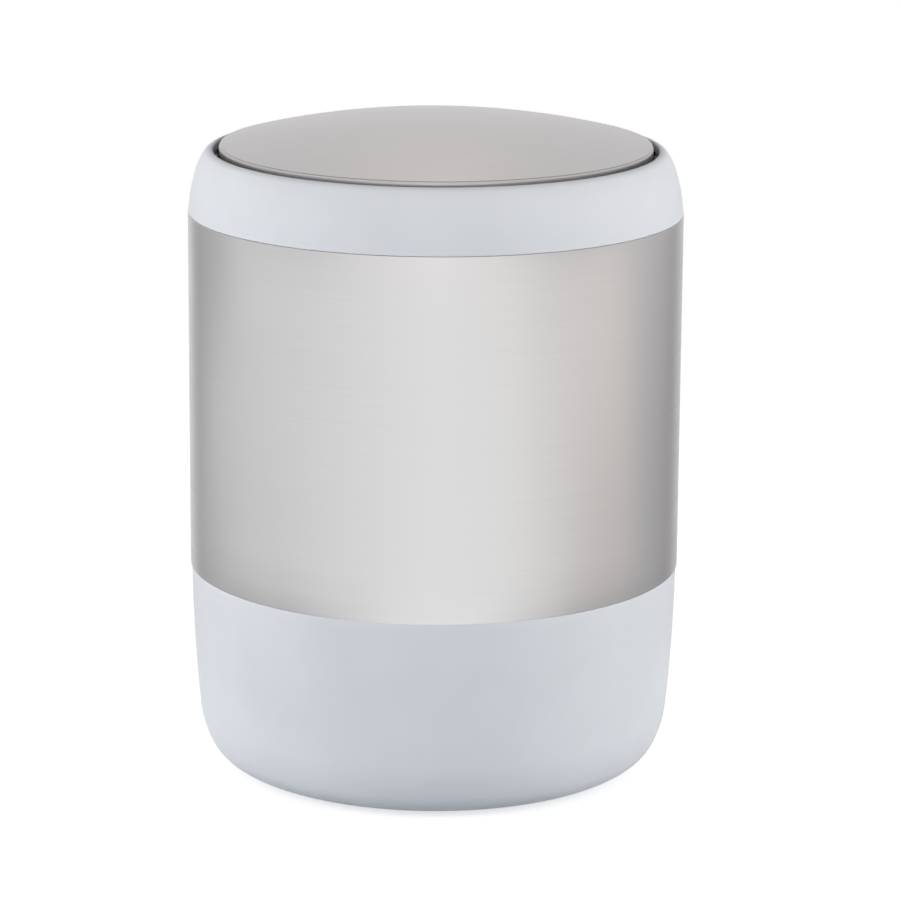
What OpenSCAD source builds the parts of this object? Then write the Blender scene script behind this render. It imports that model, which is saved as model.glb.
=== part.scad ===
// Countertop trash can with a swing lid.
// A moulded bin body carries a steel sleeve, and holds a lift-out bucket with a bail.
// A collar sits on its rim, and in the collar a domed lid swings about the X axis.
// Millimetres, +Z up. The origin is the centre of the underside, on the surface that
// the feet stand on. The front is towards -Y.

/* [Sleeve] */
// Outer radius of the steel sleeve
sleeve_r = 80.1; // [79.5:0.1:80.6]
// Height of the steel sleeve
sleeve_h = 116.5; // [110:0.5:130]
// Thickness of the sheet
sheet_t = 0.5; // [0.3:0.1:0.6]
// Height of the folded hem at each edge
hem_h = 8; // [5:0.5:12]

/* [Bin body] */
// Height of the bowl below the sleeve
bowl_h = 66.2; // [64:0.1:70]
// How far the sleeve stands proud of the bowl
bowl_step = 0.45; // [0.3:0.05:0.6]
// Wall thickness of the bowl
bowl_t = 2.2; // [1.8:0.1:2.6]
// Radius of curvature of the bowl's tall side
side_curve = 550; // [450:10:700]
// Radius of the blend below the side
blend_curve = 34; // [30:1:40]
// Radius of the corner at the underside
corner_curve = 13; // [11:0.5:15]
// Lean of the side at the sleeve, in degrees
side_lean = 0.4; // [0:0.1:0.8]
// Lean where the blend meets the corner, in degrees
blend_lean = 25; // [22:1:28]
// Thickness of the inner wall behind the sleeve
wall_t = 2; // [1.6:0.1:2.2]
// Number of snap nubs that hold the sleeve down
nub_count = 6; // [4:1:10]
// Number of feet
foot_count = 4; // [3:1:6]
// Radius of a foot
foot_r = 8; // [6:0.5:9]
// How far a foot stands out of the underside
foot_proud = 0.8; // [0.5:0.1:1]

/* [Collar] */
// Shadow gap between the sleeve and the collar
shadow_gap = 0.2; // [0.2:0.1:0.6]
// Radius of curvature of the collar's side
collar_curve = 54; // [53:1:56]
// Radius of curvature of the collar's shoulder
shoulder_curve = 18; // [17:0.5:19]
// Radius of the collar's lip
lip_curve = 3; // [2.8:0.1:3.2]
// Wall thickness of the collar
collar_t = 1.8; // [1.6:0.1:2]
// Radius of the mouth
mouth_r = 71.8; // [71.6:0.1:72]
// Number of screws between the frame and the collar
frame_screw_count = 4; // [4:2:6]
// Number of locating fins on the frame's skirt
fin_count = 8; // [8:8:16]

/* [Lid] */
// Radius of the lid
lid_r = 70; // [69.5:0.1:70.2]
// Height of the dome above the lid's edge
dome_rise = 9.1; // [7.5:0.1:10.5]
// Height of the lid's edge above the sleeve
edge_above_sleeve = 21.5; // [21.2:0.1:22]
// Thickness of the steel skin
skin_t = 0.4; // [0.3:0.1:0.6]
// Height of the skin's turned-down flange
flange_h = 3.2; // [2.8:0.1:3.6]
// Thickness of the carrier's plate
plate_t = 1.6; // [1.4:0.1:2]
// Number of radial ribs under the carrier
rib_count = 8; // [6:2:16]

/* [Swing] */
// Depth of the swing axis below the lid's edge
axis_drop = 8.1; // [7.8:0.1:8.4]
// Radius of a pivot pin
pin_r = 1.5; // [1.2:0.1:1.6]
// Radial clearance of a pin in its bearing
running_gap = 0.05; // [0.02:0.01:0.08]
// Depth of a stop peg below the swing axis
peg_drop = 9.5; // [9.2:0.1:9.8]
// Width of the counterweight bar
weight_w = 22; // [18:1:24]
// Thickness of the counterweight bar
weight_t = 8; // [6:0.5:8]

/* [Bucket] */
// Height of the bucket's rim above the surface
rim_z = 164; // [150:1:164]
// Outer radius of the bucket below its rim
bucket_r = 73; // [72:0.1:73]
// Wall thickness of the bucket
bucket_t = 1.6; // [1.2:0.1:1.8]
// Radius of the bail wire
wire_r = 1.5; // [1.2:0.1:1.5]
// Outer radius of the grip on the bail
grip_r = 3.2; // [2.6:0.1:3.2]

/* [Hidden] */

$fn = 36;
inner_fn = 28; // turned pieces inside the bin
rod_fn = 14; // pins, pegs, screws and their holes
cut = 1; // how far a cutting body reaches past the face that it opens
overlap = 0.5; // how far a joined body reaches into its neighbour
fit_gap = 0.05; // between pieces that are assembled and stay put
screw_fit = 0.03; // between a screw and its pilot hole
screw_slip = 0.2; // between a screw and the hole that it passes

// heights
bowl_z = foot_proud;
seam_z = bowl_z + bowl_h; // lower edge of the sleeve
sleeve_top = seam_z + sleeve_h;
collar_z = sleeve_top + shadow_gap; // rim of the inner wall, and lower edge of the collar
floor_z = bowl_z + bowl_t;
edge_z = sleeve_top + edge_above_sleeve; // edge of the lid
axis_z = edge_z - axis_drop;

// bin
hem_in_r = sleeve_r - 2 * sheet_t;
wall_r = hem_in_r - fit_gap;
bore_r = wall_r - wall_t; // inside of the inner wall
bowl_r = sleeve_r - bowl_step;
foot_ring_r = 50;
foot_seat_h = 1;

// frame of the lid
seat_drop = 2.6; // underside of the lip, below its crest
frame_in_r = mouth_r + 0.2;
frame_t = 1.6;
frame_out_r = frame_in_r + frame_t;
skirt_z = collar_z - 12;
ledge_z = collar_z + 3; // underside of the screw ledge
ledge_t = 2;
ledge_r = bore_r + 0.25;
boss_r = 2.1;
boss_ring_r = frame_out_r + boss_r + 0.2;
frame_screw_r = 0.95;
frame_screw_l = 8;

// bearings
tower_x = mouth_r - 0.8; // flat inner face of a bearing tower
tower_w = 18;
tower_foot_z = axis_z - 13;
bush_r = 3;
bush_flange_r = 4.2;
bush_flange_t = 0.8;
bush_end_x = tower_x + 3.2;
cap_x = tower_x + 0.2;
cap_flange_t = 2;
cap_screw_x = tower_x + 1.9;
cap_screw_y = 6.2;
cap_screw_r = 0.8;
cap_screw_l = 8;
peg_r = 1.3;
peg_sleeve_r = 2.2;
peg_z = axis_z - peg_drop;
peg_end_x = 66.7;

// lid
carrier_r = lid_r - skin_t - 0.15;
carrier_gap = skin_t + 0.12; // from the dome's top down to the carrier
carrier_z = edge_z - flange_h + skin_t; // underside of the carrier's rim, on the turned-in edge
ear_in_x = 58;
ear_step_x = peg_end_x - 0.5; // the ear stops short of the peg
ear_out_x = 68.3;
ear_boss_x = lid_r - 0.3;
ear_w = 18;
stop_w = 22;
weight_top_z = axis_z - 5.5;
weight_half_l = peg_end_x - 0.9;
weight_screw_x = 62;
weight_screw_y = 5.5;
weight_screw_r = 1.4;
weight_screw_l = weight_t + 6.5;

// bucket and bail
bucket_foot_r = 51;
bucket_foot_h = 2.2;
bucket_flat_r = 58;
bucket_corner = 10;
rim_out_r = bore_r - 1.25;
bail_z = rim_z + 3.6;
bail_r = bucket_r - 2.4;

function arc(c, r, from, to, n) =
  [for (i = [0:n]) let (a = from + (to - from) * i / n) c + r * [cos(a), sin(a)]];

function reversed(list) = [for (i = [len(list) - 1:-1:0]) list[i]];

// centre of the next arc, which runs on smoothly where the last one ends at angle a
function next_centre(c, r_last, r_next, a) = c + (r_last - r_next) * [cos(a), sin(a)];

// The bowl's side is three arcs in a row, from the sleeve down to the flat underside.
side_end = asin((bowl_h - corner_curve * (1 - sin(blend_lean)) - blend_curve * sin(blend_lean)
  + side_curve * sin(side_lean)) / (side_curve - blend_curve));
side_c = [bowl_r, seam_z] - side_curve * [cos(side_lean), -sin(side_lean)];
blend_c = next_centre(side_c, side_curve, blend_curve, -side_end);
corner_c = next_centre(blend_c, blend_curve, corner_curve, -blend_lean);

// depth is how far the outline lies inside the bowl's outer face, and n holds each arc's steps
function bowl_side(depth, n) = concat(
  arc(side_c, side_curve - depth, -side_lean, -side_end, n[0]),
  arc(blend_c, blend_curve - depth, -side_end, -blend_lean, n[1]),
  arc(corner_c, corner_curve - depth, -blend_lean, -90, n[2])
);

// The collar's side is three arcs in a row, from its lower edge up to the crest of the lip.
collar_lean = 3.2;
collar_end = 18;
shoulder_end = 35;
collar_edge_r = sleeve_r - 0.15;
collar_c = [collar_edge_r, collar_z] - collar_curve * [cos(collar_lean), sin(collar_lean)];
shoulder_c = next_centre(collar_c, collar_curve, shoulder_curve, collar_end);
lip_c = next_centre(shoulder_c, shoulder_curve, lip_curve, shoulder_end);
lip_z = lip_c[1] + lip_curve;
lip_in_curve = lip_c[0] - mouth_r;
seat_z = lip_z - seat_drop;
seat_angle = asin((seat_z - shoulder_c[1]) / (shoulder_curve - collar_t));

function collar_outside() = concat(
  arc(collar_c, collar_curve, collar_lean, collar_end, 3),
  arc(shoulder_c, shoulder_curve, collar_end, shoulder_end, 2),
  arc(lip_c, lip_curve, shoulder_end, 90, 3)
);

function collar_inside(depth) = let (
  last_lean = asin((collar_z - collar_c[1]) / (collar_curve - depth))
) concat(
  arc(shoulder_c, shoulder_curve - depth, seat_angle, collar_end, 1),
  arc(collar_c, collar_curve - depth, collar_end, last_lean, 2)
);

// The dome is a cap of a sphere with a small radius at its edge.
dome_curve = (lid_r * lid_r + dome_rise * dome_rise) / (2 * dome_rise);
dome_c = [0, edge_z + dome_rise - dome_curve];
edge_curve = 0.6;
edge_c = [lid_r - edge_curve,
  dome_c[1] + sqrt(pow(dome_curve - edge_curve, 2) - pow(lid_r - edge_curve, 2))];
edge_angle = atan2(edge_c[1] - dome_c[1], edge_c[0]);

// from the centre out to radius r, at a depth below the dome's top
function dome_line(depth, r, n) =
  arc(dome_c, dome_curve - depth, 90, acos(r / (dome_curve - depth)), n);

module both_sides() {
  children();
  mirror([1, 0, 0]) children();
}

module around(count, first = 0) {
  for (i = [0:count - 1]) rotate(first + 360 * i / count) children();
}

module rod_x(r, from, to, z) {
  translate([from, 0, z]) rotate([0, 90, 0]) cylinder(r = r, h = to - from, $fn = rod_fn);
}

// box from its lowest to its highest corner
module block(low, high) {
  translate(low) cube(high - low);
}

module ring(r, t, low, high) {
  translate([0, 0, low]) difference() {
    cylinder(r = r, h = high - low, $fn = inner_fn);
    translate([0, 0, -cut]) cylinder(r = r - t, h = high - low + 2 * cut, $fn = inner_fn);
  }
}

module hole(r, h) {
  cylinder(r = r, h = h, $fn = rod_fn);
}

// pan head screw: the head hangs below z = 0, the shank points up
module screw(r, l, head_r, head_h) {
  cylinder(r = r, h = l, $fn = rod_fn);
  translate([0, 0, -head_h]) cylinder(r1 = head_r * 0.75, r2 = head_r, h = head_h, $fn = rod_fn);
}

module at_frame_screws(z) {
  around(frame_screw_count, 180 / frame_screw_count) translate([boss_ring_r, 0, z]) children();
}

module at_cap_screws(z) {
  for (y = [-cap_screw_y, cap_screw_y]) translate([cap_screw_x, y, z]) children();
}

module at_weight_screws(z) {
  both_sides() for (y = [-weight_screw_y, weight_screw_y])
    translate([weight_screw_x, y, z]) children();
}

// ---- bin ----

module bin_body() {
  hollow_h = 0.6; // the middle of the underside is raised
  hollow_r = 38;
  rib_in_r = bucket_foot_r + 1.2; // ring on the floor that centres the bucket
  rib_out_r = rib_in_r + 1.4;
  rib_top_z = floor_z + 1.6;
  join_z = seam_z - 8; // the bowl's inner face runs into the bore here
  inner_side = [for (p = bowl_side(bowl_t, [2, 1, 3])) if (p[1] < join_z) p];
  color([0.86, 0.88, 0.9]) difference() {
    union() {
      rotate_extrude() polygon(concat(
        [[0, bowl_z + hollow_h], [hollow_r - hollow_h, bowl_z + hollow_h], [hollow_r, bowl_z]],
        reversed(bowl_side(0, [3, 2, 5])),
        [[wall_r, seam_z], [wall_r, collar_z], [bore_r, collar_z], [bore_r, (seam_z + join_z) / 2]],
        inner_side,
        [[rib_out_r, floor_z], [rib_out_r, rib_top_z], [rib_in_r, rib_top_z], [rib_in_r, floor_z],
         [0, floor_z]]
      ));
      around(nub_count, 180 / nub_count) snap_nub();
    }
    around(foot_count, 45) translate([foot_ring_r, 0, bowl_z - cut])
      cylinder(r = foot_r + fit_gap, h = foot_seat_h + cut, $fn = rod_fn);
  }
}

// wedge on the wall that the upper hem clicks past
module snap_nub() {
  nub_w = 10;
  nub_r = wall_r + 0.4;
  nub_top_z = sleeve_top - hem_h - 0.3;
  face_h = 0.8;
  ramp_h = 2.2;
  translate([0, nub_w / 2, 0]) rotate([90, 0, 0]) linear_extrude(nub_w) polygon([
    [wall_r - overlap, nub_top_z], [nub_r, nub_top_z], [nub_r, nub_top_z - face_h],
    [wall_r - overlap, nub_top_z - face_h - ramp_h]
  ]);
}

module steel_sleeve() {
  seam_w = 0.5; // butt seam at the back
  seam_depth = 0.2;
  skin_in_r = sleeve_r - sheet_t;
  color([0.77, 0.76, 0.74]) difference() {
    rotate_extrude() polygon([
      [hem_in_r, seam_z], [sleeve_r, seam_z], [sleeve_r, sleeve_top], [hem_in_r, sleeve_top],
      [hem_in_r, sleeve_top - hem_h], [skin_in_r, sleeve_top - hem_h],
      [skin_in_r, seam_z + hem_h], [hem_in_r, seam_z + hem_h]
    ]);
    block([-seam_w / 2, sleeve_r - seam_depth, seam_z - cut],
      [seam_w / 2, sleeve_r + cut, sleeve_top + cut]);
  }
}

module foot_pads() {
  bevel = 0.4;
  color([0.3, 0.3, 0.32]) around(foot_count, 45) translate([foot_ring_r, 0, 0]) {
    cylinder(r1 = foot_r - bevel, r2 = foot_r, h = bevel, $fn = rod_fn);
    translate([0, 0, bevel]) cylinder(r = foot_r, h = foot_proud + foot_seat_h - bevel, $fn = rod_fn);
  }
}

// ---- collar ----

module collar_shell() {
  boss_z = ledge_z + ledge_t;
  boss_h = 8;
  hole_h = 6.5;
  lip_in_c = [lip_c[0], lip_z - lip_in_curve];
  color([0.84, 0.85, 0.87]) difference() {
    union() {
      rotate_extrude() polygon(concat(
        collar_outside(),
        arc(lip_in_c, lip_in_curve, 90, 180, 2),
        [[mouth_r, seat_z]],
        collar_inside(collar_t)
      ));
      intersection() {
        at_frame_screws(boss_z) cylinder(r = boss_r, h = boss_h, $fn = rod_fn);
        collar_envelope(collar_t / 2);
      }
    }
    at_frame_screws(boss_z - cut) hole(frame_screw_r, hole_h + cut);
  }
}

// solid of everything inside the collar's outer face, less a depth
module collar_envelope(depth) {
  below_z = collar_z - 20;
  rotate_extrude() polygon(concat(
    [[0, below_z], [0, seat_z]],
    collar_inside(depth),
    [[collar_edge_r - depth, below_z]]
  ));
}

module lid_frame() {
  pilot_h = 6.5;
  color([0.16, 0.165, 0.17]) difference() {
    union() {
      // wall, with its screw ledge
      rotate_extrude($fn = inner_fn) polygon([
        [frame_in_r, skirt_z], [frame_out_r, skirt_z], [frame_out_r, ledge_z], [ledge_r, ledge_z],
        [ledge_r, ledge_z + ledge_t], [frame_out_r, ledge_z + ledge_t], [frame_out_r, seat_z],
        [frame_in_r, seat_z]
      ]);
      around(fin_count, 180 / fin_count) fin();
      both_sides() intersection() {
        block([tower_x, -tower_w / 2, tower_foot_z], [sleeve_r, tower_w / 2, seat_z]);
        collar_envelope(collar_t + 0.3);
      }
    }
    at_frame_screws(ledge_z - cut) hole(frame_screw_r + screw_slip, ledge_t + 2 * cut);
    both_sides() {
      // the skirt is open below each tower, for the bearing cap
      block([tower_x - cut, -tower_w / 2 - cut, skirt_z - cut],
        [sleeve_r, tower_w / 2 + cut, tower_foot_z]);
      // slot with a round top, for the bush
      block([tower_x - cut, -bush_r, tower_foot_z - cut], [sleeve_r, bush_r, axis_z]);
      rod_x(bush_r, tower_x - cut, sleeve_r, axis_z);
      at_cap_screws(tower_foot_z - cut) hole(cap_screw_r, pilot_h + cut);
    }
  }
}

// fin that centres the skirt in the bin, with a lead-in at its foot
module fin() {
  fin_t = 1.6;
  fin_r = bore_r - 0.4;
  lead_r = frame_out_r + 0.6;
  lead_h = 3;
  translate([0, fin_t / 2, 0]) rotate([90, 0, 0]) linear_extrude(fin_t) polygon([
    [frame_out_r - overlap, skirt_z], [lead_r, skirt_z], [fin_r, skirt_z + lead_h],
    [fin_r, ledge_z + overlap], [frame_out_r - overlap, ledge_z + overlap]
  ]);
}

module frame_screws() {
  color([0.7, 0.7, 0.72]) at_frame_screws(ledge_z)
    screw(frame_screw_r - screw_fit, frame_screw_l, 1.8, 1.2);
}

module bush() {
  color([0.22, 0.22, 0.23]) difference() {
    union() {
      rod_x(bush_r - screw_fit, tower_x - bush_flange_t / 2, bush_end_x, axis_z);
      rod_x(bush_flange_r, tower_x - bush_flange_t, tower_x, axis_z);
    }
    rod_x(pin_r + running_gap, tower_x - bush_flange_t - cut, bush_end_x + cut, axis_z);
  }
}

module bush_right() {
  bush();
}

module bush_left() {
  mirror([1, 0, 0]) bush();
}

// Closes the slot below the bush, and carries the stop peg.
module bearing_cap() {
  stem_half_w = bush_r - 0.1;
  stem_top_z = axis_z - 2.2;
  flange_half_w = tower_w / 2;
  flange_z = tower_foot_z - cap_flange_t;
  color([0.2, 0.2, 0.21]) difference() {
    union() {
      block([cap_x, -stem_half_w, flange_z + cap_flange_t / 2], [bush_end_x, stem_half_w, stem_top_z]);
      block([cap_x, -flange_half_w, flange_z], [bush_end_x + 0.4, flange_half_w, tower_foot_z]);
      rod_x(peg_r, peg_end_x, cap_x + cut, peg_z);
    }
    rod_x(bush_r, tower_x - cut, sleeve_r, axis_z);
    at_cap_screws(flange_z - cut) hole(cap_screw_r + screw_slip, cap_flange_t + 2 * cut);
  }
}

module bearing_cap_right() {
  bearing_cap();
}

module bearing_cap_left() {
  mirror([1, 0, 0]) bearing_cap();
}

module cap_screws() {
  color([0.7, 0.7, 0.72]) both_sides() at_cap_screws(tower_foot_z - cap_flange_t)
    screw(cap_screw_r - screw_fit, cap_screw_l, 1.6, 1.1);
}

module stop_sleeves() {
  color([0.25, 0.25, 0.26]) both_sides() difference() {
    rod_x(peg_sleeve_r, peg_end_x, cap_x, peg_z);
    rod_x(peg_r + screw_fit, peg_end_x - cut, cap_x + cut, peg_z);
  }
}

// ---- lid ----

module lid_skin() {
  turn_in_r = lid_r - 1.5;
  turn_in_z = edge_z - flange_h;
  notch_half_w = stop_w / 2 + 0.5;
  color([0.74, 0.73, 0.73]) difference() {
    rotate_extrude() polygon(concat(
      dome_line(0, dome_curve * cos(edge_angle), 6),
      arc(edge_c, edge_curve, edge_angle, 0, 2),
      [[lid_r, turn_in_z], [turn_in_r, turn_in_z], [turn_in_r, turn_in_z + skin_t],
       [lid_r - skin_t, turn_in_z + skin_t]],
      arc(edge_c, edge_curve - skin_t, 0, edge_angle, 1),
      reversed(dome_line(skin_t, (dome_curve - skin_t) * cos(edge_angle), 6))
    ));
    // the turned-in edge is open where the ears pass it
    both_sides() block([ear_in_x, -notch_half_w, turn_in_z - cut],
      [lid_r - skin_t - 0.1, notch_half_w, turn_in_z + skin_t + 0.02]);
  }
}

// solid below a line in the carrier's plate, down to a flat bottom
module under_plate(r, bottom_z) {
  rotate_extrude($fn = inner_fn) polygon(concat(
    dome_line(carrier_gap + plate_t / 2, r, 3),
    [[r, bottom_z], [0, bottom_z]]
  ));
}

module lid_carrier() {
  rim_in_r = carrier_r - 1.8;
  bevel = 0.9;
  rib_t = 1.2;
  hub_r = 12;
  rib_ring_r = 38;
  top_z = edge_z + dome_rise;
  color([0.16, 0.165, 0.17]) difference() {
    union() {
      // plate and rim
      rotate_extrude($fn = inner_fn) polygon(concat(
        dome_line(carrier_gap, carrier_r - bevel, 4),
        [[carrier_r, edge_z - bevel], [carrier_r, carrier_z], [rim_in_r, carrier_z]],
        reversed(dome_line(carrier_gap + plate_t, rim_in_r, 3))
      ));
      intersection() {
        under_plate(carrier_r - 1, carrier_z);
        union() {
          around(rib_count) block([hub_r - rib_t / 2, -rib_t / 2, carrier_z],
            [carrier_r, rib_t / 2, top_z]);
          ring(hub_r, rib_t, carrier_z, top_z);
          ring(rib_ring_r, rib_t, carrier_z, top_z);
        }
      }
      both_sides() ear();
    }
    both_sides() rod_x(pin_r + screw_fit, ear_in_x - cut, lid_r + cut, axis_z);
    at_weight_screws(weight_top_z - cut) hole(weight_screw_r, weight_screw_l - weight_t + 2 * cut);
  }
}

// The ear hangs down to the counterweight, and its wider outer step meets the stop peg.
module ear() {
  ear_top_z = edge_z + 3;
  step_in_x = ear_step_x - overlap;
  intersection() {
    under_plate(carrier_r - 0.2, weight_top_z);
    union() {
      block([ear_in_x, -ear_w / 2, weight_top_z], [ear_step_x, ear_w / 2, ear_top_z]);
      block([step_in_x, -stop_w / 2, axis_z], [ear_out_x, stop_w / 2, ear_top_z]);
    }
  }
  rod_x(bush_flange_r, ear_in_x + overlap, ear_boss_x, axis_z);
}

module pivot_pin() {
  tip = 0.4;
  pin_in_x = ear_in_x + 0.8;
  pin_end_x = bush_end_x - 0.4;
  color([0.8, 0.8, 0.81]) {
    rod_x(pin_r, pin_in_x, pin_end_x, axis_z);
    translate([pin_end_x, 0, axis_z]) rotate([0, 90, 0])
      cylinder(r1 = pin_r, r2 = pin_r - tip, h = tip, $fn = rod_fn);
  }
}

module pivot_pin_right() {
  pivot_pin();
}

module pivot_pin_left() {
  mirror([1, 0, 0]) pivot_pin();
}

module counterweight() {
  chamfer = 3;
  half_w = weight_w / 2;
  short_l = weight_half_l - chamfer;
  short_w = half_w - chamfer;
  bottom_z = weight_top_z - weight_t;
  color([0.62, 0.62, 0.63]) difference() {
    translate([0, 0, bottom_z]) linear_extrude(weight_t) polygon([
      [-weight_half_l, -short_w], [-short_l, -half_w], [short_l, -half_w], [weight_half_l, -short_w],
      [weight_half_l, short_w], [short_l, half_w], [-short_l, half_w], [-weight_half_l, short_w]
    ]);
    at_weight_screws(bottom_z - cut) hole(weight_screw_r + screw_slip, weight_t + 2 * cut);
  }
}

module counterweight_screws() {
  color([0.7, 0.7, 0.72]) at_weight_screws(weight_top_z - weight_t)
    screw(weight_screw_r - screw_fit, weight_screw_l, 2.6, 1.8);
}

// ---- bucket ----

module inner_bucket() {
  base_z = floor_z + bucket_foot_h;
  foot_in_r = bucket_foot_r - 1.6;
  taper = atan2(bucket_r - bucket_flat_r - bucket_corner, rim_z - base_z - bucket_corner);
  knee_c = [bucket_flat_r, base_z + bucket_corner];
  rim_under_z = rim_z - 1.6;
  rim_in_r = rim_out_r - 1.6;
  rim_foot_z = rim_z - 6;
  bevel = 0.6;
  rest_r = 1.6;
  rest_top_z = bail_z - wire_r - 0.1;
  color([0.55, 0.56, 0.58]) difference() {
    union() {
      rotate_extrude($fn = inner_fn) polygon(concat(
        [[0, base_z], [foot_in_r, base_z], [foot_in_r, floor_z], [bucket_foot_r, floor_z],
         [bucket_foot_r, base_z]],
        arc(knee_c, bucket_corner, -90, -taper, 3),
        [[bucket_r, rim_under_z], [rim_in_r, rim_under_z], [rim_in_r, rim_foot_z],
         [rim_out_r, rim_foot_z], [rim_out_r, rim_z - bevel], [rim_out_r - bevel, rim_z],
         [bucket_r - bucket_t, rim_z]],
        arc(knee_c, bucket_corner - bucket_t, -taper, -90, 2),
        [[0, base_z + bucket_t]]
      ));
      both_sides() bail_ear();
      // rests that the bail lies on, at the back and at the front
      for (a = [55, 125, 235, 305]) rotate(a) translate([bail_r + 1.2, 0, rim_z - cut])
        cylinder(r = rest_r, h = rest_top_z - rim_z + cut, $fn = rod_fn);
    }
    both_sides() rod_x(wire_r + running_gap, bucket_r - cut, rim_out_r + cut, bail_z);
  }
}

module bail_ear() {
  plate_end_x = bucket_r + 2.6;
  half_w = 6;
  boss_r = 3.4;
  block([bucket_r, -half_w, rim_z - cut], [plate_end_x, half_w, bail_z - cut]);
  rod_x(boss_r, bucket_r, plate_end_x, bail_z);
}

module bail_wire() {
  bail_end_x = bore_r - 0.9;
  shoulder_r = wire_r + 0.35; // keeps the bail off the ear
  color([0.75, 0.75, 0.76]) {
    translate([0, 0, bail_z]) rotate_extrude(angle = 180) translate([bail_r, 0])
      circle(r = wire_r, $fn = rod_fn);
    both_sides() {
      rod_x(wire_r, bail_r, bail_end_x, bail_z);
      rod_x(shoulder_r, bail_r - shoulder_r, bail_r + shoulder_r, bail_z);
    }
  }
}

module bail_grip() {
  grip_angle = 40;
  color([0.2, 0.2, 0.21]) translate([0, 0, bail_z]) rotate(90 - grip_angle / 2)
    rotate_extrude(angle = grip_angle) translate([bail_r, 0]) difference() {
      circle(r = grip_r, $fn = rod_fn);
      circle(r = wire_r + screw_fit, $fn = rod_fn);
    }
}

bin_body();
steel_sleeve();
foot_pads();
collar_shell();
lid_frame();
frame_screws();
bush_left();
bush_right();
bearing_cap_left();
bearing_cap_right();
cap_screws();
stop_sleeves();
lid_skin();
lid_carrier();
pivot_pin_left();
pivot_pin_right();
counterweight();
counterweight_screws();
inner_bucket();
bail_wire();
bail_grip();
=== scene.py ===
import math

import bmesh
import bpy
from mathutils import Matrix, Vector


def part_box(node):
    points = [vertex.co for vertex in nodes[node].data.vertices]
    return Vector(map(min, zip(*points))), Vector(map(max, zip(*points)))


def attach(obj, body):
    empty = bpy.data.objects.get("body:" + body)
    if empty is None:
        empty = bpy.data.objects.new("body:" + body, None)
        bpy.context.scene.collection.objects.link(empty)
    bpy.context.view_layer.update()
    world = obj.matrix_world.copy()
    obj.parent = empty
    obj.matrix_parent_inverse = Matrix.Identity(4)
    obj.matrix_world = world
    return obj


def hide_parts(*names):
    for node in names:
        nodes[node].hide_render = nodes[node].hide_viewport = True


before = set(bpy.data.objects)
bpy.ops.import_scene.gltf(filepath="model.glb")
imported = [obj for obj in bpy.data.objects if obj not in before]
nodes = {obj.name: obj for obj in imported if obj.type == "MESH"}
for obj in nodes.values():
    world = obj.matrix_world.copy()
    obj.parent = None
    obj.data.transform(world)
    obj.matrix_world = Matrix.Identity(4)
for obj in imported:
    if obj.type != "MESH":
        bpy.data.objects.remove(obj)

# Countertop bin with a swing lid. Metres, Z up, front towards -Y.

mm = 0.001
scene = bpy.context.scene
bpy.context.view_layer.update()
print("frame loaded:", len(nodes), "parts")


# camera at the photograph's viewing angle, angles in radians

cameraSettings = {
    "height": 0.42085,
    "distance": 1.290,
    "lens": 161.95,
    "sensor": 36.0,
    "yaw": 0.00394,
    "pitch": 0.24126,
    "roll": 0.0066,
    "clipStart": 0.05,
    "clipEnd": 60,
}


def makeCamera(s):
    camera = bpy.data.objects.new("photoCamera", bpy.data.cameras.new("photoCamera"))
    scene.collection.objects.link(camera)
    camera.data.lens = s["lens"]
    camera.data.sensor_width = s["sensor"]
    camera.data.clip_start = s["clipStart"]
    camera.data.clip_end = s["clipEnd"]
    forward = Vector((
        math.sin(s["yaw"]) * math.cos(s["pitch"]),
        math.cos(s["yaw"]) * math.cos(s["pitch"]),
        -math.sin(s["pitch"]),
    ))
    levelRight = forward.cross(Vector((0, 0, 1))).normalized()
    levelUp = levelRight.cross(forward)
    right = levelRight * math.cos(s["roll"]) + levelUp * math.sin(s["roll"])
    up = levelUp * math.cos(s["roll"]) - levelRight * math.sin(s["roll"])
    turn = Matrix((right, up, -forward)).transposed()
    camera.matrix_world = Matrix.Translation((0, -s["distance"], s["height"])) @ turn.to_4x4()
    scene.camera = camera


makeCamera(cameraSettings)
print("camera placed")


# node trees

def srgb(red, green, blue):
    # linear colour of three levels from 0 to 255
    channels = []
    for value in (red, green, blue):
        value /= 255
        channels.append(value / 12.92 if value <= 0.04045 else ((value + 0.055) / 1.055) ** 2.4)
    return (*channels, 1)


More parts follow.
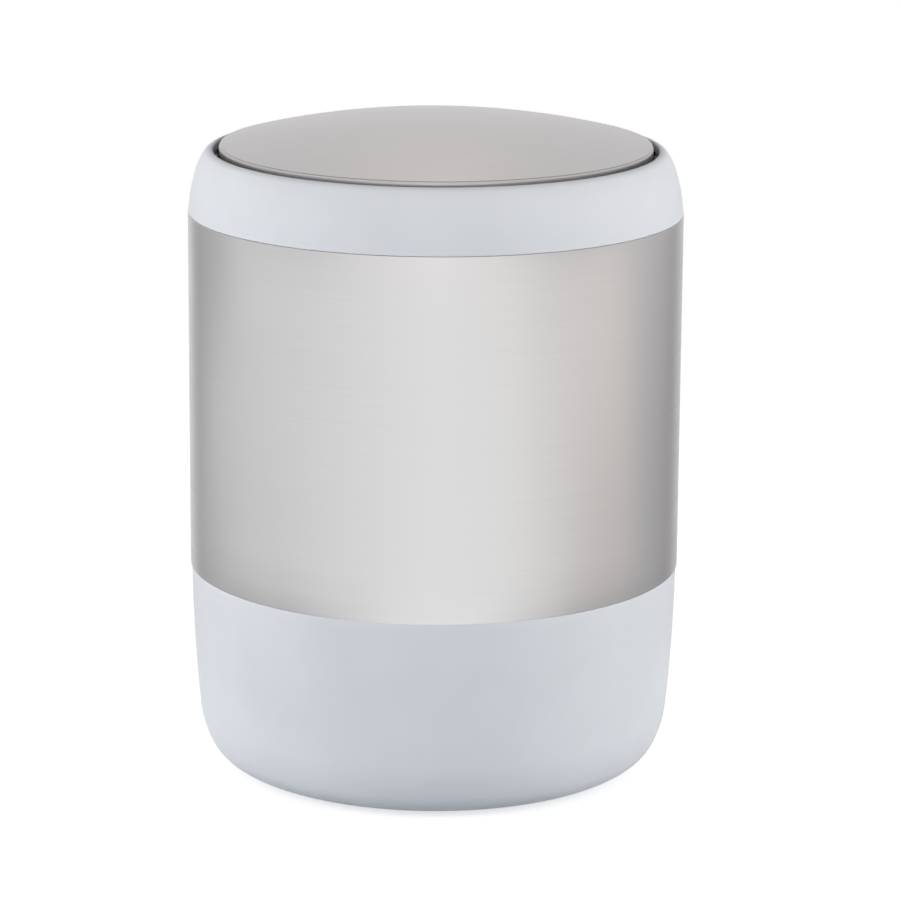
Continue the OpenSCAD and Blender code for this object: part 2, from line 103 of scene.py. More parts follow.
class Graph:
    # a node tree, and short calls that add nodes to it
    def __init__(self, tree):
        self.tree = tree

    def add(self, kind, **values):
        node = self.tree.nodes.new(kind)
        for key, value in values.items():
            setattr(node, key, value)
        return node

    def link(self, output, target):
        self.tree.links.new(output, target)

    def fill(self, sockets, values):
        # each value is another node's output or a fixed one
        for socket, value in zip(sockets, values):
            if isinstance(value, bpy.types.NodeSocket):
                self.link(value, socket)
            else:
                socket.default_value = value

    def math(self, operation, first, second=0):
        node = self.add("ShaderNodeMath", operation=operation)
        self.fill(node.inputs, (first, second))
        return node.outputs[0]

    def vector(self, x, y, z):
        node = self.add("ShaderNodeCombineXYZ")
        self.fill(node.inputs, (x, y, z))
        return node.outputs[0]

    def split(self, vector):
        node = self.add("ShaderNodeSeparateXYZ")
        self.link(vector, node.inputs[0])
        return node.outputs

    def coords(self, scale=(1, 1, 1), output="Object"):
        source = self.add("ShaderNodeTexCoord")
        mapping = self.add("ShaderNodeMapping")
        mapping.inputs["Scale"].default_value = scale
        self.link(source.outputs[output], mapping.inputs["Vector"])
        return mapping.outputs["Vector"]

    def noise(self, vector, scale, detail=3, roughness=0.5):
        node = self.add("ShaderNodeTexNoise")
        node.inputs["Scale"].default_value = scale
        node.inputs["Detail"].default_value = detail
        node.inputs["Roughness"].default_value = roughness
        self.link(vector, node.inputs["Vector"])
        return node.outputs["Fac"]

    def span(self, value, fromLow, fromHigh, toLow, toHigh):
        node = self.add("ShaderNodeMapRange")
        self.fill(node.inputs, (value, fromLow, fromHigh, toLow, toHigh))
        return node.outputs[0]

    def ramp(self, value, tones):
        # tones by value, in rising order, each a grey or a colour
        low, high = min(tones), max(tones)
        node = self.add("ShaderNodeValToRGB")
        stops = node.color_ramp.elements
        while len(stops) < len(tones):
            stops.new(0.5)
        for stop, (key, tone) in zip(stops, tones.items()):
            stop.position = (key - low) / (high - low)
            stop.color = (*tone, 1) if isinstance(tone, tuple) else (tone, tone, tone, 1)
        self.link(self.span(value, low, high, 0, 1), node.inputs[0])
        return node.outputs[0]

    def blend(self, factor, first, second, kind="MIX"):
        node = self.add("ShaderNodeMix", data_type="RGBA", blend_type=kind)
        self.fill((node.inputs[0], node.inputs[6], node.inputs[7]), (factor, first, second))
        return node.outputs[2]

    def bump(self, height, distance):
        node = self.add("ShaderNodeBump")
        node.inputs["Distance"].default_value = distance
        self.link(height, node.inputs["Height"])
        return node.outputs["Normal"]

    def seen(self):
        # 1 for what the camera and mirrors see, 0 for the light that falls on things
        rays = self.add("ShaderNodeLightPath")
        sharp = self.math("MAXIMUM", rays.outputs["Is Camera Ray"], rays.outputs["Is Glossy Ray"])
        return self.math("MAXIMUM", sharp, rays.outputs["Is Transmission Ray"])


class Finish(Graph):
    # one material with its shader
    def __init__(self, name):
        self.material = bpy.data.materials.new(name)
        self.material.use_nodes = True
        super().__init__(self.material.node_tree)
        self.shader = self.tree.nodes["Principled BSDF"]

    def feed(self, **sockets):
        for name, value in sockets.items():
            self.link(value, self.shader.inputs[name.replace("_", " ")])

    def fix(self, **sockets):
        for name, value in sockets.items():
            self.shader.inputs[name.replace("_", " ")].default_value = value

    def show(self, output):
        self.link(output, self.tree.nodes["Material Output"].inputs["Surface"])


# finishes

mouldingLooks = {
    "whiteMoulding": {
        "pale": srgb(227, 229, 233), "deep": srgb(223, 225, 229),
        "roughLow": 0.44, "roughHigh": 0.56, "grain": 3800, "grainDepth": 0.012 * mm,
    },
    "darkMoulding": {
        "pale": srgb(52, 53, 56), "deep": srgb(40, 41, 44),
        "roughLow": 0.42, "roughHigh": 0.6, "grain": 2600, "grainDepth": 0.02 * mm,
    },
    "bucketPlastic": {
        "pale": srgb(176, 179, 184), "deep": srgb(164, 167, 173),
        "roughLow": 0.34, "roughHigh": 0.5, "grain": 1800, "grainDepth": 0.012 * mm,
    },
    "bearingPlastic": {
        "pale": srgb(44, 44, 46), "deep": srgb(34, 34, 36),
        "roughLow": 0.3, "roughHigh": 0.42, "grain": 3000, "grainDepth": 0.008 * mm,
    },
}
mouldingWear = {"cloudScale": 38, "scuffScale": 420, "scuffRoughness": 0.1, "index": 1.46}


def mouldingFinish(name, look, wear):
    # spark-eroded mould grain over slow changes of tone and gloss
    finish = Finish(name)
    place = finish.coords()
    cloud = finish.noise(place, wear["cloudScale"], 4)
    grain = finish.noise(place, look["grain"], 2)
    scuff = finish.noise(place, wear["scuffScale"], 5, 0.65)
    tone = finish.blend(finish.span(cloud, 0.35, 0.65, 0, 1), look["pale"], look["deep"])
    rough = finish.math(
        "ADD",
        finish.span(cloud, 0.3, 0.7, look["roughLow"], look["roughHigh"]),
        finish.span(scuff, 0.62, 0.75, 0, wear["scuffRoughness"]),
    )
    finish.feed(Base_Color=tone, Roughness=rough, Normal=finish.bump(grain, look["grainDepth"]))
    finish.fix(IOR=wear["index"])
    return finish.material


steelLooks = {
    "brushedSteel": {
        "pale": srgb(228, 227, 227), "deep": srgb(222, 221, 221), "along": 14, "across": 5200,
        "roughLow": 0.29, "roughHigh": 0.33, "anisotropy": 0.7, "depth": 0.002 * mm,
        # painted shade: tones by height, darker towards the lower hem and darkest in a thin painted shade
        # line at its edge, and their share by the distance from the middle
        "hem": {
            0.067: (0.58, 0.57, 0.58), 0.0673: (0.62, 0.61, 0.62), 0.0676: (0.77, 0.77, 0.78),
            0.0705: (0.83, 0.83, 0.84), 0.0745: 0.92, 0.084: 1,
        },
        "paintedShadeShare": {0.012: 0, 0.045: 1, 0.062: 1, 0.077: 0.3},
    },
    "lidSteel": {
        "pale": srgb(208, 206, 206), "deep": srgb(200, 198, 198), "along": 22, "across": 4800,
        "roughLow": 0.31, "roughHigh": 0.37, "anisotropy": 0.5, "depth": 0.002 * mm,
    },
}
steelWear = {
    "bandAlong": 1 / 4, "bandAcross": 1 / 9, "smearScale": 26, "smearRoughness": 0.03,
    # the gloss spreads across the lines
    "glossTurn": 0.25,
}


def steelFinish(name, look, wear):
    # fine lines run along U of the piece's own map, which is in metres
    finish = Finish(name)
    along, across = look["along"], look["across"]
    lines = finish.noise(finish.coords((along, across, 1), "UV"), 1, 4, 0.6)
    bandScale = (along * wear["bandAlong"], across * wear["bandAcross"], 1)
    bands = finish.noise(finish.coords(bandScale, "UV"), 1, 3)
    smear = finish.noise(finish.coords(), wear["smearScale"], 4, 0.55)
    tone = finish.blend(finish.span(lines, 0.3, 0.7, 0, 1), look["pale"], look["deep"])
    rough = finish.math(
        "ADD",
        finish.span(bands, 0.35, 0.65, look["roughLow"], look["roughHigh"]),
        finish.span(smear, 0.4, 0.7, 0, wear["smearRoughness"]),
    )
    # painted shade: the sleeve's colour is multiplied darker towards its lower hem, more away from the
    # middle
    if "hem" in look:
        place = finish.split(finish.coords())
        paintedShadeShare = finish.ramp(finish.math("ABSOLUTE", place["X"]), look["paintedShadeShare"])
        tone = finish.blend(paintedShadeShare, tone, finish.ramp(place["Z"], look["hem"]), "MULTIPLY")
    finish.feed(Base_Color=tone, Roughness=rough, Normal=finish.bump(lines, look["depth"]))
    tangent = finish.add("ShaderNodeTangent", direction_type="UV_MAP", uv_map="UVMap")
    finish.feed(Tangent=tangent.outputs[0])
    finish.fix(Metallic=1.0, Anisotropic=look["anisotropy"], Anisotropic_Rotation=wear["glossTurn"])
    return finish.material


metalLooks = {
    "zincScrews": {
        "pale": srgb(205, 208, 212), "deep": srgb(186, 188, 190),
        "roughLow": 0.24, "roughHigh": 0.4, "scale": 500,
    },
    "pinSteel": {
        "pale": srgb(214, 213, 211), "deep": srgb(204, 203, 200),
        "roughLow": 0.16, "roughHigh": 0.28, "scale": 900,
    },
    "barSteel": {
        "pale": srgb(188, 188, 190), "deep": srgb(162, 163, 167),
        "roughLow": 0.34, "roughHigh": 0.52, "scale": 160,
    },
}
metalWear = {"scratchScale": (60, 3000, 3000), "scratchDepth": 0.004 * mm}


def metalFinish(name, look, wear):
    # crystals of tone and gloss under fine scratches
    finish = Finish(name)
    crystals = finish.noise(finish.coords(), look["scale"], 5, 0.6)
    scratch = finish.noise(finish.coords(wear["scratchScale"]), 1, 2)
    tone = finish.blend(finish.span(crystals, 0.35, 0.65, 0, 1), look["pale"], look["deep"])
    rough = finish.span(crystals, 0.3, 0.7, look["roughLow"], look["roughHigh"])
    finish.feed(Base_Color=tone, Roughness=rough, Normal=finish.bump(scratch, wear["scratchDepth"]))
    finish.fix(Metallic=1.0)
    return finish.material


rubberLook = {
    "clean": srgb(58, 58, 61), "dusty": srgb(82, 82, 84), "dust": 320,
    "roughLow": 0.68, "roughHigh": 0.86, "grain": 2400, "grainDepth": 0.02 * mm,
}


def rubberFinish(name, look):
    finish = Finish(name)
    place = finish.coords()
    dust = finish.noise(place, look["dust"], 5, 0.65)
    finish.feed(
        Base_Color=finish.blend(finish.span(dust, 0.5, 0.75, 0, 1), look["clean"], look["dusty"]),
        Roughness=finish.span(dust, 0.3, 0.7, look["roughLow"], look["roughHigh"]),
        Normal=finish.bump(finish.noise(place, look["grain"], 2), look["grainDepth"]),
    )
    return finish.material


finishes = {}
for name, look in mouldingLooks.items():
    finishes[name] = mouldingFinish(name, look, mouldingWear)
for name, look in steelLooks.items():
    finishes[name] = steelFinish(name, look, steelWear)
for name, look in metalLooks.items():
    finishes[name] = metalFinish(name, look, metalWear)
finishes["rubber"] = rubberFinish("rubber", rubberLook)
print("finishes made:", ", ".join(finishes))


# shaping

def newPiece(name, mesh):
    piece = bpy.data.objects.new(name, mesh)
    scene.collection.objects.link(piece)
    return piece


def keepShape(piece):
    # what the modifiers make becomes the piece's own mesh
    shaped = piece.evaluated_get(bpy.context.evaluated_depsgraph_get())
    mesh = bpy.data.meshes.new_from_object(shaped)
    piece.modifiers.clear()
    old, piece.data = piece.data, mesh
    bpy.data.meshes.remove(old)
    mesh.name = piece.name


def runTree(piece, tree, values):
    modifier = piece.modifiers.new("shape", "NODES")
    modifier.node_group = tree
    for item in tree.interface.items_tree:
        if item.in_out == "INPUT" and item.name in values:
            modifier[item.identifier] = values[item.name]
    keepShape(piece)


def combine(piece, tool, operation="DIFFERENCE"):
    modifier = piece.modifiers.new("solid", "BOOLEAN")
    modifier.operation = operation
    modifier.solver = "EXACT"
    modifier.object = tool
    keepShape(piece)
    bpy.data.objects.remove(tool)


def fromWork(name, work):
    mesh = bpy.data.meshes.new(name)
    work.to_mesh(mesh)
    work.free()
    return newPiece(name, mesh)


def block(low, high):
    work = bmesh.new()
    bmesh.ops.create_cube(work, size=1)
    for vertex in work.verts:
        vertex.co = [high[i] if vertex.co[i] > 0 else low[i] for i in range(3)]
    return fromWork("block", work)


def rod(start, end, radius, steps=40):
    start, end = Vector(start), Vector(end)
    work = bmesh.new()
    bmesh.ops.create_cone(
        work, cap_ends=True, segments=steps, radius1=radius, radius2=radius, depth=(end - start).length,
    )
    turn = (end - start).to_track_quat("Z", "Y").to_matrix().to_4x4()
    bmesh.ops.transform(work, matrix=Matrix.Translation((start + end) / 2) @ turn, verts=work.verts)
    return fromWork("rod", work)


def arcPoints(centre, radius, startAngle, endAngle, steps):
    # angles in degrees, 0 outwards and 90 up
    points = []
    for step in range(steps + 1):
        angle = math.radians(startAngle + (endAngle - startAngle) * step / steps)
        points.append((centre[0] + radius * math.cos(angle), centre[1] + radius * math.sin(angle)))
    return points


def nextCentre(centre, lastRadius, nextRadius, angle):
    angle = math.radians(angle)
    reach = lastRadius - nextRadius
    return (centre[0] + reach * math.cos(angle), centre[1] + reach * math.sin(angle))


def rounded(before, corner, after, radius, steps=4):
    # arc that takes the place of a corner between two neighbours
    before, corner, after = Vector(before), Vector(corner), Vector(after)
    inward, outward = (before - corner).normalized(), (after - corner).normalized()
    half = inward.angle(outward) / 2
    reach = radius / math.tan(half)
    centre = corner + (inward + outward).normalized() * (radius / math.sin(half))
    start, end = corner + inward * reach - centre, corner + outward * reach - centre
    return [tuple(centre + start.slerp(end, step / steps) * radius) for step in range(steps + 1)]


def roundedLine(points, radius):
    # open line with its inner corners rounded
    result = [points[0]]
    for before, corner, after in zip(points, points[1:], points[2:]):
        result += rounded(before, corner, after, radius, 3)
    return result + [points[-1]]


def nodeGroup(name, inputs):
    tree = bpy.data.node_groups.new(name, "GeometryNodeTree")
    for label, kind in inputs.items():
        tree.interface.new_socket(label, in_out="INPUT", socket_type="NodeSocket" + kind)
    tree.interface.new_socket("Geometry", in_out="OUTPUT", socket_type="NodeSocketGeometry")
    return Graph(tree)


def closeTree(graph, geometry, source):
    # every tree ends in real geometry with its material
    real, paint = graph.add("GeometryNodeRealizeInstances"), graph.add("GeometryNodeSetMaterial")
    graph.link(geometry, real.inputs["Geometry"])
    graph.link(real.outputs["Geometry"], paint.inputs["Geometry"])
    graph.link(source.outputs["Finish"], paint.inputs["Material"])
    graph.link(paint.outputs["Geometry"], graph.add("NodeGroupOutput").inputs["Geometry"])
    return graph.tree


turning = {"steps": 192, "spindle": 1 * mm, "weld": 1e-6}


def turningTree(s):
    # sweeps an outline round a thin spindle on the Z axis
    graph = nodeGroup("turnedShell", {
        "Geometry": "Geometry", "Steps": "Int", "Spindle radius": "Float", "Finish": "Material",
    })
    add, link = graph.add, graph.link
    source = add("NodeGroupInput")
    outline, spindle = add("GeometryNodeMeshToCurve"), add("GeometryNodeCurvePrimitiveCircle")
    sweep, weld = add("GeometryNodeCurveToMesh"), add("GeometryNodeMergeByDistance")
    link(source.outputs["Geometry"], outline.inputs["Mesh"])
    link(source.outputs["Steps"], spindle.inputs["Resolution"])
    link(source.outputs["Spindle radius"], spindle.inputs["Radius"])
    link(spindle.outputs["Curve"], sweep.inputs["Curve"])
    link(outline.outputs["Curve"], sweep.inputs["Profile Curve"])
    link(sweep.outputs["Mesh"], weld.inputs["Geometry"])
    weld.inputs["Distance"].default_value = s["weld"]
    return closeTree(graph, weld.outputs["Geometry"], source)


def repeatTree():
    # sets a copy of the part on every point, turned to face away from the Z axis
    graph = nodeGroup("repeatedPart", {"Geometry": "Geometry", "Part": "Object", "Finish": "Material"})
    add, link = graph.add, graph.link
    source, part = add("NodeGroupInput"), add("GeometryNodeObjectInfo")
    copies = add("GeometryNodeInstanceOnPoints")
    place = graph.split(add("GeometryNodeInputPosition").outputs["Position"])
    turn = graph.math("ARCTAN2", place["Y"], place["X"])
    link(source.outputs["Part"], part.inputs["Object"])
    link(source.outputs["Geometry"], copies.inputs["Points"])
    link(part.outputs["Geometry"], copies.inputs["Instance"])
    link(graph.vector(0, 0, turn), copies.inputs["Rotation"])
    return closeTree(graph, copies.outputs["Instances"], source)


# shares of the screw's own sizes, and the steps of its round forms
screwForm = {
    "core": 0.84, "threaded": 0.8, "threadStart": 0.15, "slotLength": 1.15, "slotWidth": 0.26,
    "slotPlace": -0.92, "shankSteps": 20, "threadSteps": 20, "flankSides": 4,
    "domeSegments": 28, "domeRings": 16,
}


def screwTree(s):
    # cross-recessed screw: the head hangs below the origin and the shank points up
    graph = nodeGroup("crossScrew", {
        "Geometry": "Geometry", "Shank radius": "Float", "Shank length": "Float", "Thread pitch": "Float",
        "Head radius": "Float", "Head height": "Float", "Finish": "Material",
    })
    add, link, vector = graph.add, graph.link, graph.vector
    source = add("NodeGroupInput")
    radius, length = source.outputs["Shank radius"], source.outputs["Shank length"]
    headRadius, headHeight = source.outputs["Head radius"], source.outputs["Head height"]
    joined = add("GeometryNodeJoinGeometry")

    def times(value, share):
        return graph.math("MULTIPLY", value, share)

    def moved(geometry, place, scale=(1, 1, 1)):
        node = add("GeometryNodeTransform")
        link(geometry, node.inputs["Geometry"])
        graph.fill((node.inputs["Translation"], node.inputs["Scale"]), (place, scale))
        return node.outputs["Geometry"]

    core, threaded = times(radius, s["core"]), times(length, s["threaded"])
    shank = add("GeometryNodeMeshCylinder")
    shank.inputs["Vertices"].default_value = s["shankSteps"]
    link(core, shank.inputs["Radius"])
    link(length, shank.inputs["Depth"])
    spiral = add("GeometryNodeCurveSpiral")
    spiral.inputs["Resolution"].default_value = s["threadSteps"]
    link(graph.math("DIVIDE", threaded, source.outputs["Thread pitch"]), spiral.inputs["Rotations"])
    link(core, spiral.inputs["Start Radius"])
    link(core, spiral.inputs["End Radius"])
    link(threaded, spiral.inputs["Height"])
    flank = add("GeometryNodeCurvePrimitiveCircle")
    flank.inputs["Resolution"].default_value = s["flankSides"]
    link(graph.math("SUBTRACT", radius, core), flank.inputs["Radius"])
    thread = add("GeometryNodeCurveToMesh")
    thread.inputs["Fill Caps"].default_value = True
    link(spiral.outputs["Curve"], thread.inputs["Curve"])
    link(flank.outputs["Curve"], thread.inputs["Profile Curve"])
    dome = add("GeometryNodeMeshUVSphere")
    graph.fill(dome.inputs, (s["domeSegments"], s["domeRings"], 1))
    cross = add("GeometryNodeMeshBoolean", operation="DIFFERENCE")
    head = moved(dome.outputs["Mesh"], (0, 0, 0), vector(headRadius, headRadius, headHeight))
    link(head, cross.inputs["Mesh 1"])
    slotLength, slotWidth = times(headRadius, s["slotLength"]), times(headRadius, s["slotWidth"])
    slotPlace = vector(0, 0, times(headHeight, s["slotPlace"]))
    for x, y in ((slotLength, slotWidth), (slotWidth, slotLength)):
        bar = add("GeometryNodeMeshCube")
        link(vector(x, y, headHeight), bar.inputs["Size"])
        link(moved(bar.outputs["Mesh"], slotPlace), cross.inputs["Mesh 2"])
    link(cross.outputs["Mesh"], joined.inputs["Geometry"])
    for node, share in ((shank, 0.5), (thread, s["threadStart"])):
        link(moved(node.outputs["Mesh"], vector(0, 0, times(length, share))), joined.inputs["Geometry"])
    return closeTree(graph, joined.outputs["Geometry"], source)


turnedShell, repeatedPart, crossScrew = turningTree(turning), repeatTree(), screwTree(screwForm)


def turned(name, outline, finish, closed=False):
    mesh = bpy.data.meshes.new(name)
    points = [(radius - turning["spindle"], -height, 0) for radius, height in outline]
    edges = [(i, i + 1) for i in range(len(points) - 1)]
    if closed:
        edges.append((len(points) - 1, 0))
    mesh.from_pydata(points, edges, [])
    piece = newPiece(name, mesh)
    runTree(piece, turnedShell, {
        "Steps": turning["steps"], "Spindle radius": turning["spindle"], "Finish": finish,
    })
    return piece


def repeated(name, part, places, finish):
    mesh = bpy.data.meshes.new(name)
    mesh.from_pydata(places, [], [])
    piece = newPiece(name, mesh)
    runTree(piece, repeatedPart, {"Part": part, "Finish": finish})
    bpy.data.objects.remove(part)
    return piece


def ringPlaces(count, first, radius, height):
    places = []
    for index in range(count):
        angle = math.radians(first + 360 * index / count)
        places.append((radius * math.cos(angle), radius * math.sin(angle), height))
    return places


# sizes in metres and angles in degrees, and how far a normal points up or down on a flat face
meshCare = {
    "shortestEdge": 1e-7, "creaseAngle": 38, "flatNormal": 0.5,
    "mergeWithin": 2e-6, "flatAngle": 0.5, "sharpAngle": 35,
}


def smoothed(mesh, s):
    # faces outwards, and smooth but for the sharp edges
    work = bmesh.new()
    work.from_mesh(mesh)
    bmesh.ops.dissolve_degenerate(work, dist=s["shortestEdge"], edges=work.edges)
    bmesh.ops.recalc_face_normals(work, faces=work.faces)
    for face in work.faces:
        face.smooth = True
    for edge in work.edges:
        edge.smooth = edge.is_manifold and edge.calc_face_angle(0) < math.radians(s["creaseAngle"])
    work.to_mesh(mesh)
    work.free()


def wrapMap(mesh, flat=False):
    # U runs round the piece and V up it, in metres, or both lie flat on faces that look up or down
    layer = mesh.uv_layers.get("UVMap") or mesh.uv_layers.new(name="UVMap")
    for face in mesh.polygons:
        turns = [math.atan2(mesh.vertices[i].co.x, -mesh.vertices[i].co.y) for i in face.vertices]
        if max(turns) - min(turns) > math.pi:
            turns = [turn + 2 * math.pi if turn < 0 else turn for turn in turns]
        for loop, vertex, turn in zip(face.loop_indices, face.vertices, turns):
            place = mesh.vertices[vertex].co
            if flat and abs(face.normal.z) > meshCare["flatNormal"]:
                layer.data[loop].uv = (place.x, place.y)
            else:
                layer.data[loop].uv = (turn * math.hypot(place.x, place.y), place.z)


def settle(piece, s, replaced=None):
    # last step of every piece
    smoothed(piece.data, meshCare)
    wrapMap(piece.data, s.get("flatMap", False))
    piece.data.materials.clear()
    piece.data.materials.append(finishes[s["finish"]])
    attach(piece, s["body"])
    if replaced:
        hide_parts(replaced)


def refined(node, name, s):
    # merged copy of a solid, with its flat faces joined and its edges rounded
    work = bmesh.new()
    work.from_mesh(nodes[node].data)
    flatAngle, sharpAngle = math.radians(meshCare["flatAngle"]), math.radians(meshCare["sharpAngle"])
    bmesh.ops.remove_doubles(work, verts=work.verts, dist=meshCare["mergeWithin"])
    bmesh.ops.dissolve_limit(work, angle_limit=flatAngle, verts=work.verts, edges=work.edges)
    sharp = [edge for edge in work.edges if edge.is_manifold and edge.calc_face_angle(0) > sharpAngle]
    bmesh.ops.bevel(
        work, geom=sharp, offset=s["edge"], offset_type="OFFSET", segments=2, profile=0.5,
        affect="EDGES", clamp_overlap=True,
    )
    piece = fromWork(name, work)
    settle(piece, s, node)
    return piece


# bin

sleeveLow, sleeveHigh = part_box("steel_sleeve")
binLow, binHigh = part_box("bin_body")
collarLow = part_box("collar_shell")[0]
sleeveRadius, seamZ, sleeveTop = sleeveHigh.x, sleeveLow.z, sleeveHigh.z

binShape = {
    "body": "bin", "slot": "white_moulding", "finish": "whiteMoulding",
    "bowlStep": 0.45 * mm,
    "wall": 2.2 * mm,
    "sideCurve": 550 * mm,
    "blendCurve": 34 * mm,
    "cornerCurve": 13 * mm,
    "sideLean": 0.4,
    "blendLean": 25,
    "innerWall": 79.05 * mm,
    "bore": 77.05 * mm,
    "hollowRadius": 38 * mm,
    "hollowDepth": 0.6 * mm,
    "ringRadius": 52.2 * mm,
    "ringWidth": 1.4 * mm,
    "ringHeight": 1.6 * mm,
    "edge": 0.35 * mm,
    "footRing": 50 * mm,
    "footSeat": 8.05 * mm,
    "footSeatDepth": 1 * mm,
    "feet": 4,
    "firstFoot": 45,
    # how far below the sleeve the bore ends, and the bowl's inner face starts
    "boreDrop": 4 * mm,
    "bowlDrop": 8 * mm,
}


def bowlSide(s, depth):
    # three arcs in a row, from the sleeve down to the flat underside
    bowlRadius = sleeveRadius - s["bowlStep"]
    lean, blendLean = math.radians(s["sideLean"]), math.radians(s["blendLean"])
    drop = (seamZ - binLow.z - s["cornerCurve"] * (1 - math.sin(blendLean))
            - s["blendCurve"] * math.sin(blendLean) + s["sideCurve"] * math.sin(lean))
    sideEnd = math.degrees(math.asin(drop / (s["sideCurve"] - s["blendCurve"])))
    sideCentre = (bowlRadius - s["sideCurve"] * math.cos(lean), seamZ + s["sideCurve"] * math.sin(lean))
    blendCentre = nextCentre(sideCentre, s["sideCurve"], s["blendCurve"], -sideEnd)
    cornerCentre = nextCentre(blendCentre, s["blendCurve"], s["cornerCurve"], -s["blendLean"])
    return (
        arcPoints(sideCentre, s["sideCurve"] - depth, -s["sideLean"], -sideEnd, 24)
        + arcPoints(blendCentre, s["blendCurve"] - depth, -sideEnd, -s["blendLean"], 14)[1:]
        + arcPoints(cornerCentre, s["cornerCurve"] - depth, -s["blendLean"], -90, 26)[1:]
    )


def binOutline(s):
    floorZ, edge = binLow.z + s["wall"], s["edge"]
    outside = bowlSide(s, 0)[::-1]
    outside[-1:] = rounded(outside[-4], outside[-1], (s["innerWall"], seamZ), edge)
    inside = [point for point in bowlSide(s, s["wall"]) if point[1] < seamZ - s["bowlDrop"]]
    rim = roundedLine([
        (s["innerWall"], seamZ), (s["innerWall"], binHigh.z), (s["bore"], binHigh.z),
        (s["bore"], seamZ - s["boreDrop"]),
    ], edge)
    ringOut, ringTop = s["ringRadius"] + s["ringWidth"], floorZ + s["ringHeight"]
    ring = roundedLine([
        (ringOut, floorZ), (ringOut, ringTop), (s["ringRadius"], ringTop), (s["ringRadius"], floorZ),
    ], edge)
    hollowZ = binLow.z + s["hollowDepth"]
    hollow = [(0, hollowZ), (s["hollowRadius"] - s["hollowDepth"], hollowZ), (s["hollowRadius"], binLow.z)]
    return hollow + outside + rim + inside + ring + [(0, floorZ)]


binShell = turned("binShell", binOutline(binShape), finishes["whiteMoulding"])
for x, y, z in ringPlaces(binShape["feet"], binShape["firstFoot"], binShape["footRing"], binLow.z):
    combine(binShell, rod((x, y, z - mm), (x, y, z + binShape["footSeatDepth"]), binShape["footSeat"]))
settle(binShell, binShape, "bin_body")

nubShape = {
    "body": "bin", "slot": "white_moulding", "finish": "whiteMoulding",
    "count": 6, "first": 30, "drop": 8.3 * mm,
    "width": 10 * mm, "reach": 0.4 * mm, "root": 0.5 * mm, "face": 0.8 * mm, "ramp": 2.2 * mm,
}


def nub(s):
    # wedge whose flat top holds the sleeve's upper hem
    half, root = s["width"] / 2, -s["root"]
    side = [(root, 0), (s["reach"], 0), (s["reach"], -s["face"]), (root, -s["face"] - s["ramp"])]
    mesh = bpy.data.meshes.new("nub")
    points = [(x, y, z) for y in (-half, half) for x, z in side]
    faces = [(3, 2, 1, 0), (4, 5, 6, 7), (0, 1, 5, 4), (1, 2, 6, 5), (2, 3, 7, 6), (3, 0, 4, 7)]
    mesh.from_pydata(points, [], faces)
    return newPiece("nub", mesh)


nubPlaces = ringPlaces(
    nubShape["count"], nubShape["first"], binShape["innerWall"], sleeveTop - nubShape["drop"],
)
settle(repeated("snapNubs", nub(nubShape), nubPlaces, finishes["whiteMoulding"]), nubShape)

sleeveShape = {
    "body": "bin", "slot": "brushed_steel", "finish": "brushedSteel",
    "sheet": 0.5 * mm, "hem": 8 * mm, "fold": 0.3 * mm, "topFold": 0.14 * mm, "bandEnd": 12 * mm,
    "seamWidth": 0.5 * mm, "seamDepth": 0.2 * mm,
}


def sleeveOutline(s):
    fold, topFold, bandEnd = s["fold"], s["topFold"], s["bandEnd"]
    outer, skinIn, hemIn = sleeveRadius, sleeveRadius - s["sheet"], sleeveRadius - 2 * s["sheet"]
    return (
        arcPoints((outer - fold, seamZ + fold), fold, -90, 0, 6)
        + [(outer, seamZ + bandEnd), (outer, (seamZ + sleeveTop) / 2), (outer, sleeveTop - bandEnd)]
        + arcPoints((outer - topFold, sleeveTop - topFold), topFold, 0, 90, 6)
        + arcPoints((hemIn + fold, sleeveTop - fold), fold, 90, 180, 6)
        + [(hemIn, sleeveTop - s["hem"]), (skinIn, sleeveTop - s["hem"]),
           (skinIn, seamZ + s["hem"]), (hemIn, seamZ + s["hem"])]
        + arcPoints((hemIn + fold, seamZ + fold), fold, 180, 270, 6)
    )


sleeve = turned("sleeve", sleeveOutline(sleeveShape), finishes["brushedSteel"], closed=True)
combine(sleeve, block(
    (-sleeveShape["seamWidth"] / 2, sleeveRadius - sleeveShape["seamDepth"], seamZ - mm),
    (sleeveShape["seamWidth"] / 2, sleeveRadius + mm, sleeveTop + mm),
))
settle(sleeve, sleeveShape, "steel_sleeve")
print("bin made")


# collar

collarShape = {
    "body": "collar", "slot": "white_moulding", "finish": "whiteMoulding",
    "step": 0.15 * mm,
    "drop": 0.1 * mm,
    "sideCurve": 54 * mm,
    "shoulderCurve": 18 * mm,
    "lipCurve": 3 * mm,
    "lean": 3.2,
    "sideEnd": 18,
    "shoulderEnd": 36.5,
    "wall": 1.8 * mm,
    "mouth": 71.8 * mm,
    "seatDrop": 2.6 * mm,
    "edge": 0.1 * mm,
}


def collarArcs(s):
    edgeRadius, lean = sleeveRadius - s["step"], math.radians(s["lean"])
    foot = collarLow.z - s["drop"]
    side = (edgeRadius - s["sideCurve"] * math.cos(lean), foot - s["sideCurve"] * math.sin(lean))
    shoulder = nextCentre(side, s["sideCurve"], s["shoulderCurve"], s["sideEnd"])
    return side, shoulder, nextCentre(shoulder, s["shoulderCurve"], s["lipCurve"], s["shoulderEnd"])


def collarInside(s, depth):
    side, shoulder, lip = collarArcs(s)
    seatZ = lip[1] + s["lipCurve"] - s["seatDrop"]
    seatAngle = math.degrees(math.asin((seatZ - shoulder[1]) / (s["shoulderCurve"] - s["wall"])))
    innerLean = math.degrees(math.asin((collarLow.z - s["drop"] - side[1]) / (s["sideCurve"] - depth)))
    return (
        arcPoints(shoulder, s["shoulderCurve"] - depth, seatAngle, s["sideEnd"], 12)
        + arcPoints(side, s["sideCurve"] - depth, s["sideEnd"], innerLean, 20)[1:]
    )


